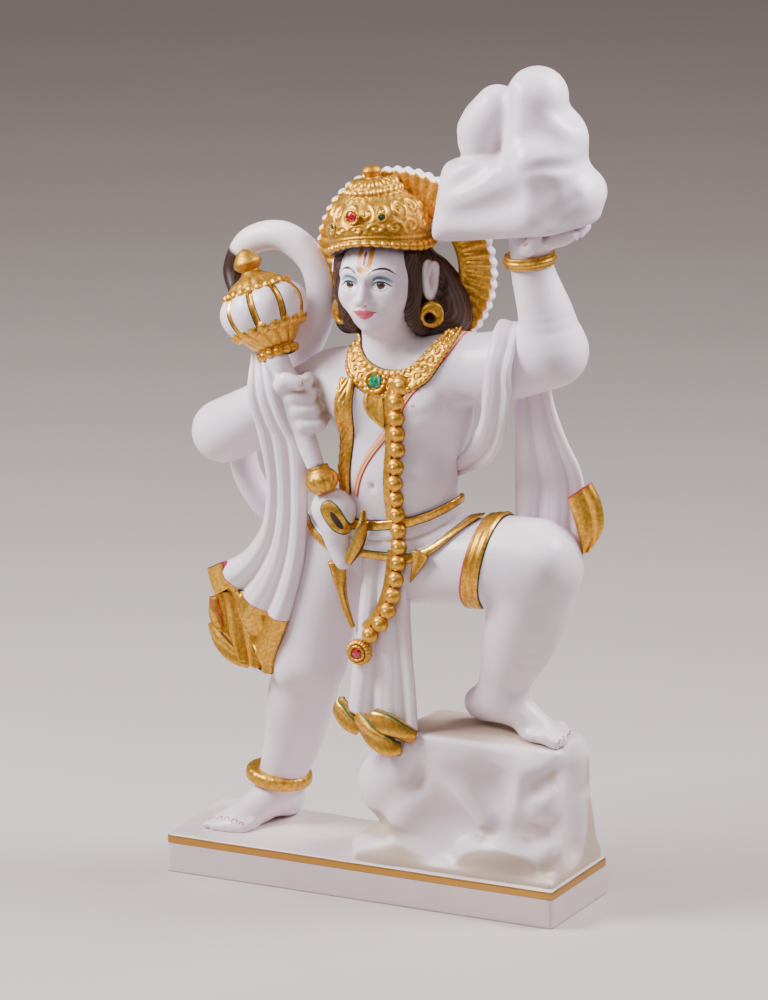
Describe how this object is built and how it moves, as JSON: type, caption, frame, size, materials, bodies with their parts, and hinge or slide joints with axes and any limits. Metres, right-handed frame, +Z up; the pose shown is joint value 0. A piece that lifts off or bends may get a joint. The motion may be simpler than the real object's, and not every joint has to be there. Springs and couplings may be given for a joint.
{
  "type": "painted marble figure of Hanuman",
  "caption": "Painted and gilded marble figure that strides from a low plinth on to a rock, with a mace in one hand and a mountain raised on the other palm.",
  "frame": {"origin": "middle of the plinth's flat underside", "axes": "+Z up, the figure's front towards -Y, the figure's left and the lifted mountain towards +X"},
  "size_m": [0.3136, 0.0943, 0.6085],
  "materials": {
    "painted_marble": "polished",
    "red_glass": "gloss",
    "green_glass": "gloss",
    "gilding": "satin"
  },
  "bodies": {
    "root": {"hanuman_figure": "painted_marble", "crown_red_stone": "red_glass", "crown_green_stone_left": "green_glass", "crown_green_stone_right": "green_glass", "necklace_green_stone": "green_glass", "garland_red_stone": "red_glass"}
  },
  "joints": []
}
